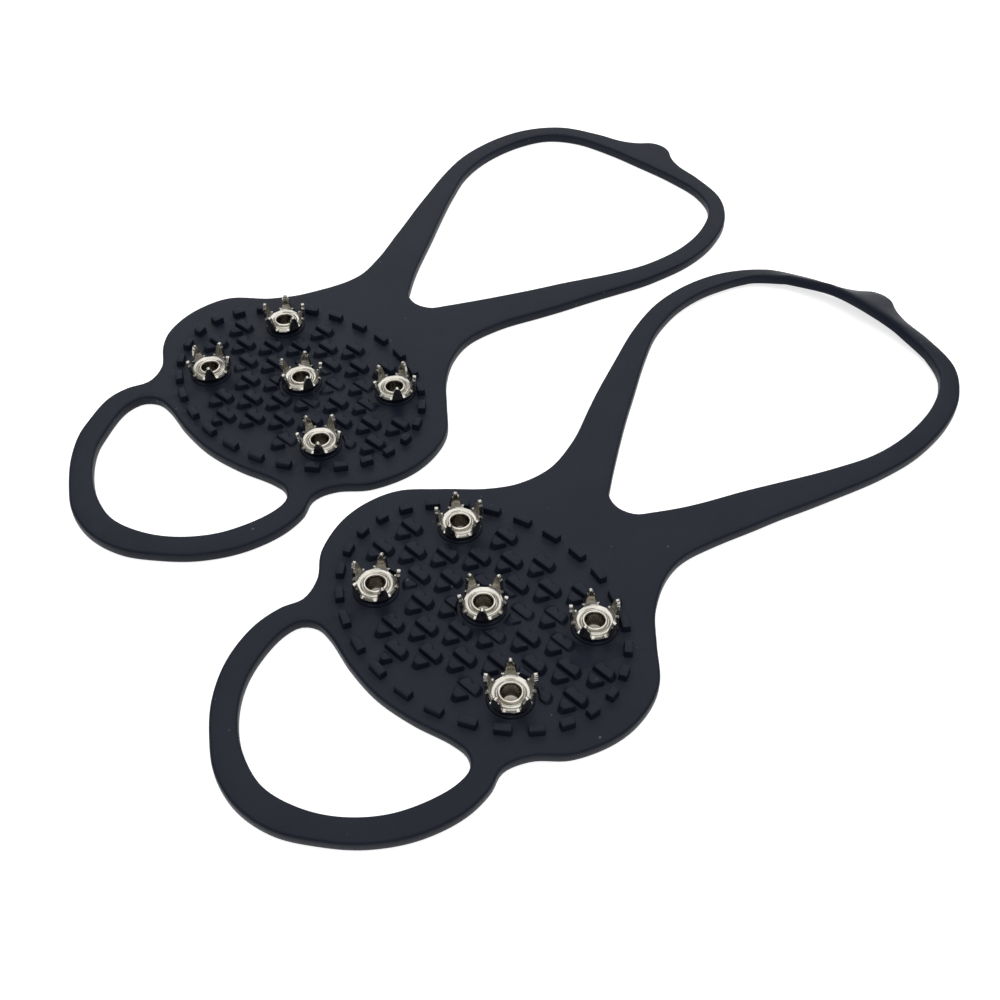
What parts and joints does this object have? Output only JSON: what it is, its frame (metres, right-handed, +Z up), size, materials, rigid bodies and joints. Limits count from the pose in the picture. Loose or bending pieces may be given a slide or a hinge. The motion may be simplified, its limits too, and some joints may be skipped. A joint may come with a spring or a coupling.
{
  "type": "shoe ice cleats",
  "caption": "Pair of slip-on elastomer ice cleats: tread pads with toe and heel loops and toothed steel crowns held by rivets, lying flat with the studs up.",
  "frame": {"origin": "middle of the bottom of the pair's box: both cleats lie on z = 0 on the face that meets the shoe, studs up", "axes": "+Y along the front cleat's length, from its toe loop to the tip of its heel pull tab; +X across it; +Z up, out of the tread; the second cleat lies on the -X side, turned 3.2 degrees about +Z"},
  "size_m": [0.148, 0.2024, 0.0078],
  "materials": {
    "rubber": "satin, blue-black thermoplastic elastomer with a fine moulded grain",
    "crown_steel": "bright nickel-plated stamped steel, slightly warm",
    "rivet_steel": "bright nickel-plated, warm brown inside the bore",
    "washer_steel": "plain zinc-plated"
  },
  "bodies": {
    "cleat_a_pad": {"cleat_a_tread_pad": "rubber"},
    "cleat_a_heel": {"cleat_a_heel_strap": "rubber"},
    "cleat_a_toe": {"cleat_a_toe_strap": "rubber"},
    "cleat_a_stud_1": {"cleat_a_crown_1": "crown_steel", "cleat_a_rivet_1": "rivet_steel", "cleat_a_washer_1": "washer_steel"},
    "cleat_a_stud_2": {"cleat_a_crown_2": "crown_steel", "cleat_a_rivet_2": "rivet_steel", "cleat_a_washer_2": "washer_steel"},
    "cleat_a_stud_3": {"cleat_a_crown_3": "crown_steel", "cleat_a_rivet_3": "rivet_steel", "cleat_a_washer_3": "washer_steel"},
    "cleat_a_stud_4": {"cleat_a_crown_4": "crown_steel", "cleat_a_rivet_4": "rivet_steel", "cleat_a_washer_4": "washer_steel"},
    "cleat_a_stud_5": {"cleat_a_crown_5": "crown_steel", "cleat_a_rivet_5": "rivet_steel", "cleat_a_washer_5": "washer_steel"},
    "cleat_b_pad": {"cleat_b_tread_pad": "rubber"},
    "cleat_b_heel": {"cleat_b_heel_strap": "rubber"},
    "cleat_b_toe": {"cleat_b_toe_strap": "rubber"},
    "cleat_b_stud_1": {"cleat_b_crown_1": "crown_steel", "cleat_b_rivet_1": "rivet_steel", "cleat_b_washer_1": "washer_steel"},
    "cleat_b_stud_2": {"cleat_b_crown_2": "crown_steel", "cleat_b_rivet_2": "rivet_steel", "cleat_b_washer_2": "washer_steel"},
    "cleat_b_stud_3": {"cleat_b_crown_3": "crown_steel", "cleat_b_rivet_3": "rivet_steel", "cleat_b_washer_3": "washer_steel"},
    "cleat_b_stud_4": {"cleat_b_crown_4": "crown_steel", "cleat_b_rivet_4": "rivet_steel", "cleat_b_washer_4": "washer_steel"},
    "cleat_b_stud_5": {"cleat_b_crown_5": "crown_steel", "cleat_b_rivet_5": "rivet_steel", "cleat_b_washer_5": "washer_steel"}
  },
  "joints": [
    {"name": "cleat_a_heel_fold", "type": "hinge", "parent": "cleat_a_pad", "child": "cleat_a_heel", "pos_m": [0.03835, -0.01167, 0.0012], "axis": [-1, 0, 0], "range_deg": [-90, 90], "stiffness_Nm_per_rad": 0.03},
    {"name": "cleat_a_toe_fold", "type": "hinge", "parent": "cleat_a_pad", "child": "cleat_a_toe", "pos_m": [0.03835, -0.07367, 0.0012], "axis": [1, 0, 0], "range_deg": [-90, 90], "stiffness_Nm_per_rad": 0.02},
    {"name": "cleat_a_stud_1_spin", "type": "hinge", "parent": "cleat_a_pad", "child": "cleat_a_stud_1", "pos_m": [0.02115, -0.03387, 0], "axis": [0, 0, 1], "continuous": true},
    {"name": "cleat_a_stud_2_spin", "type": "hinge", "parent": "cleat_a_pad", "child": "cleat_a_stud_2", "pos_m": [0.05555, -0.03387, 0], "axis": [0, 0, 1], "continuous": true},
    {"name": "cleat_a_stud_3_spin", "type": "hinge", "parent": "cleat_a_pad", "child": "cleat_a_stud_3", "pos_m": [0.03835, -0.04477, 0], "axis": [0, 0, 1], "continuous": true},
    {"name": "cleat_a_stud_4_spin", "type": "hinge", "parent": "cleat_a_pad", "child": "cleat_a_stud_4", "pos_m": [0.02115, -0.05547, 0], "axis": [0, 0, 1], "continuous": true},
    {"name": "cleat_a_stud_5_spin", "type": "hinge", "parent": "cleat_a_pad", "child": "cleat_a_stud_5", "pos_m": [0.05555, -0.05547, 0], "axis": [0, 0, 1], "continuous": true},
    {"name": "cleat_b_heel_fold", "type": "hinge", "parent": "cleat_b_pad", "child": "cleat_b_heel", "pos_m": [-0.03493, 0.00482, 0.0012], "axis": [-0.9984, -0.0558, 0], "range_deg": [-90, 90], "stiffness_Nm_per_rad": 0.03},
    {"name": "cleat_b_toe_fold", "type": "hinge", "parent": "cleat_b_pad", "child": "cleat_b_toe", "pos_m": [-0.03147, -0.05708, 0.0012], "axis": [0.9984, 0.0558, 0], "range_deg": [-90, 90], "stiffness_Nm_per_rad": 0.02},
    {"name": "cleat_b_stud_1_spin", "type": "hinge", "parent": "cleat_b_pad", "child": "cleat_b_stud_1", "pos_m": [-0.05087, -0.0183, 0], "axis": [0, 0, 1], "continuous": true},
    {"name": "cleat_b_stud_2_spin", "type": "hinge", "parent": "cleat_b_pad", "child": "cleat_b_stud_2", "pos_m": [-0.01652, -0.01638, 0], "axis": [0, 0, 1], "continuous": true},
    {"name": "cleat_b_stud_3_spin", "type": "hinge", "parent": "cleat_b_pad", "child": "cleat_b_stud_3", "pos_m": [-0.03309, -0.02822, 0], "axis": [0, 0, 1], "continuous": true},
    {"name": "cleat_b_stud_4_spin", "type": "hinge", "parent": "cleat_b_pad", "child": "cleat_b_stud_4", "pos_m": [-0.04966, -0.03987, 0], "axis": [0, 0, 1], "continuous": true},
    {"name": "cleat_b_stud_5_spin", "type": "hinge", "parent": "cleat_b_pad", "child": "cleat_b_stud_5", "pos_m": [-0.01531, -0.03795, 0], "axis": [0, 0, 1], "continuous": true},
    {"name": "cleat_b_lift_off", "type": "slide", "parent": "cleat_a_pad", "child": "cleat_b_pad", "axis": [0, 0, 1], "range_m": [0, 0.15]}
  ]
}
